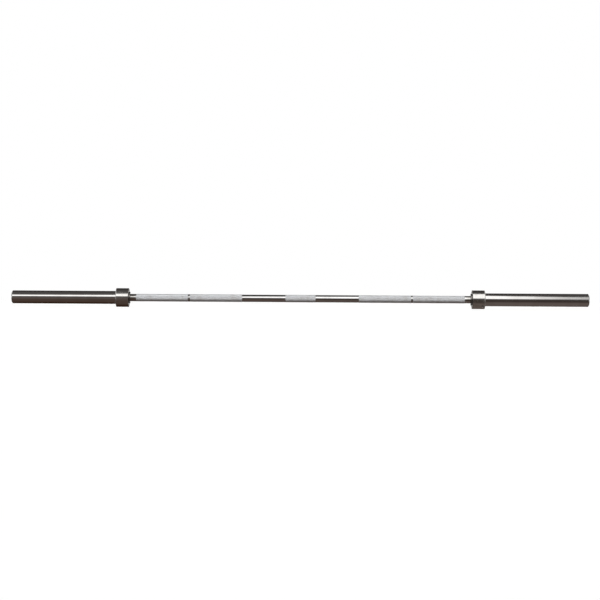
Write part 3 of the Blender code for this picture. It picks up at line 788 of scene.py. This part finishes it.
# White to the camera and through glass, and in the chrome where the white backdrop stands behind
# the bar. All else is a soft box in front, panels at the sides and a dark room round them, as the
# real bar's bright streak and dark edges show.
def makeStudio():
    world = bpy.data.worlds.new("studio")
    bpy.context.scene.world = world
    world.use_nodes = True
    tree = world.node_tree
    tree.nodes.clear()
    way = addNode(tree, "ShaderNodeSeparateXYZ",
                  {0: addNode(tree, "ShaderNodeTexCoord").outputs["Generated"]})
    forward = addNode(tree, "ShaderNodeMath", {0: way.outputs["Y"], 1: -1.0}, operation="MULTIPLY")
    turn = addNode(tree, "ShaderNodeMath", {0: way.outputs["Z"], 1: forward}, operation="ARCTAN2")
    rise = addNode(tree, "ShaderNodeMath", {0: turn}, operation="DEGREES")
    follows = {
        "rise": rise,
        "right": way.outputs["X"],
        "turnedAway": addNode(tree, "ShaderNodeMath", {0: rise}, operation="ABSOLUTE"),
    }
    edges = {}
    for name, (followed, start, end, low, high) in studioEdges.items():
        edges[name] = addNode(tree, "ShaderNodeMapRange",
                              {"Value": follows[followed], "From Min": start, "From Max": end,
                               "To Min": low, "To Max": high}, interpolation_type="SMOOTHSTEP")
    tones = {name: linear(tone) for name, tone in studioSizes["roomColours"].items()}

    # The soft box
    softness = studioSizes["boxSoftness"]
    top = addNode(tree, "ShaderNodeMath", {0: edges["boxTop"], 1: edges["boxDrop"]}, operation="SUBTRACT")
    under = addNode(tree, "ShaderNodeMath", {0: top, 1: rise}, operation="SUBTRACT")
    inside = addNode(tree, "ShaderNodeMapRange",
                     {"Value": under, "From Min": -softness, "From Max": softness},
                     interpolation_type="SMOOTHSTEP")
    inBox = addNode(tree, "ShaderNodeMath", {0: edges["boxFoot"], 1: inside}, operation="MULTIPLY")
    box = addNode(tree, "ShaderNodeMath", {0: inBox, 1: edges["boxLevel"]}, operation="MULTIPLY")

    # The side panels
    panel = edges["panelFoot"]
    for name in ("panelHead", "leftPanelFar", "rightPanelFar", "leftPanelEnd", "rightPanelEnd"):
        panel = addNode(tree, "ShaderNodeMath", {0: panel, 1: edges[name]}, operation="MULTIPLY")
    aside = addNode(tree, "ShaderNodeMath", {0: edges["leftPanel"], 1: edges["rightPanel"]}, operation="ADD")
    lit = addNode(tree, "ShaderNodeMix", {0: aside, 2: box, 3: panel}, data_type="FLOAT")

    # The dark room: neutral above, brown below and greyer to the right
    overhead = addNode(tree, "ShaderNodeMix", {0: edges["overheadTone"], 6: tones["overheadNear"],
                                               7: tones["overheadFar"]}, data_type="RGBA")
    farLeft = addNode(tree, "ShaderNodeMix", {0: edges["floorLeftTone"], 6: tones["floorLeftFar"],
                                              7: tones["floorLeft"]}, data_type="RGBA")
    left = addNode(tree, "ShaderNodeMix", {0: edges["floorLeftNear"], 6: farLeft.outputs[2],
                                           7: tones["floorLeftNear"]}, data_type="RGBA")
    right = addNode(tree, "ShaderNodeMix", {0: edges["floorRightTone"], 6: tones["floorRightFar"],
                                            7: tones["floorRight"]}, data_type="RGBA")
    below = addNode(tree, "ShaderNodeMix", {0: edges["floorSide"], 6: left.outputs[2], 7: right.outputs[2]},
                    data_type="RGBA")
    room = addNode(tree, "ShaderNodeMix", {0: edges["horizon"], 6: below.outputs[2], 7: overhead.outputs[2]},
                   data_type="RGBA")
    lamps = addNode(tree, "ShaderNodeVectorMath",
                    {0: addNode(tree, "ShaderNodeCombineXYZ", {0: lit, 1: lit, 2: lit}), 1: room.outputs[2]},
                    operation="MAXIMUM")

    # What each ray sees
    rays = addNode(tree, "ShaderNodeLightPath").outputs
    straight = addNode(tree, "ShaderNodeMath", {0: rays["Is Camera Ray"], 1: rays["Is Transmission Ray"]},
                       operation="MAXIMUM")
    mirrored = addNode(tree, "ShaderNodeMath", {0: rays["Is Glossy Ray"], 1: edges["backdrop"]},
                       operation="MULTIPLY")
    seesWhite = addNode(tree, "ShaderNodeMath", {0: straight, 1: mirrored}, operation="MAXIMUM")
    seen = addNode(tree, "ShaderNodeMix", {0: seesWhite, 6: lamps.outputs[0], 7: white}, data_type="RGBA")
    light = addNode(tree, "ShaderNodeBackground", {"Color": seen.outputs[2], "Strength": 1.0})
    addNode(tree, "ShaderNodeOutputWorld", {"Surface": light})


# A pale floor that takes the bar's shadow. It glows only to the camera, so it lights nothing,
# and the chrome doesn't mirror it, because the real bar's lower half is dark.
def makeFloor():
    shape = bmesh.new()
    bmesh.ops.create_grid(shape, x_segments=1, y_segments=1, size=studioSizes["floorHalf"])
    shape.transform(Matrix.Translation((0, 0, cadBox[0].z - studioSizes["floorDrop"])))
    floor = meshPiece("studio_floor", shape)
    paper = bpy.data.materials.new("mattWhitePaper")
    paper.use_nodes = True
    tree = paper.node_tree
    tree.nodes.clear()
    fibres = addNode(tree, "ShaderNodeTexNoise",
                     {"Vector": addNode(tree, "ShaderNodeTexCoord").outputs["Object"],
                      "Scale": 1 / studioSizes["paperFibre"], "Detail": studioSizes["paperDetail"]})
    pale, paler = (linear(tone) for tone in studioSizes["paperColours"])
    tone = addNode(tree, "ShaderNodeMix", {0: fibres.outputs["Fac"], 6: pale, 7: paler}, data_type="RGBA")
    matt = addNode(tree, "ShaderNodeBsdfDiffuse", {"Color": tone.outputs[2]})
    shown = addNode(tree, "ShaderNodeMath",
                    {0: addNode(tree, "ShaderNodeLightPath").outputs["Is Camera Ray"],
                     1: studioSizes["floorGlow"]}, operation="MULTIPLY")
    glow = addNode(tree, "ShaderNodeEmission", {"Color": white, "Strength": shown})
    both = addNode(tree, "ShaderNodeAddShader", {0: matt, 1: glow})
    addNode(tree, "ShaderNodeOutputMaterial", {"Surface": both})
    floor.data.materials.append(paper)
    floor.visible_glossy = False


cameraSizes = {
    "distance": 6.0,  # from the bar, in metres, as the next two
    "place": (-0.00172, -0.00522),  # to the right of the bar's middle, and above it
    "halfWidth": 1.1455,  # of what it sees at the bar
    "tilt": 0.369,  # degrees
    "sensorWidth": 36,  # millimetres
}


def makeCamera():
    tilt = math.radians(cameraSizes["tilt"])
    sideways, upward = cameraSizes["place"]
    data = bpy.data.cameras.new("camera")
    data.sensor_width = cameraSizes["sensorWidth"]
    data.lens = data.sensor_width / 2 * cameraSizes["distance"] / cameraSizes["halfWidth"]
    camera = bpy.data.objects.new("camera", data)
    bpy.context.scene.collection.objects.link(camera)
    right, up = (math.cos(tilt), 0, math.sin(tilt)), (-math.sin(tilt), 0, math.cos(tilt))
    turned = Matrix((right, up, (0, -1, 0))).transposed().to_4x4()
    camera.matrix_world = Matrix.Translation((sideways, -cameraSizes["distance"], upward)) @ turned
    bpy.context.scene.camera = camera


makeStudio()
makeFloor()
makeCamera()
bpy.context.scene.view_settings.view_transform = "Standard"
print("studio made")
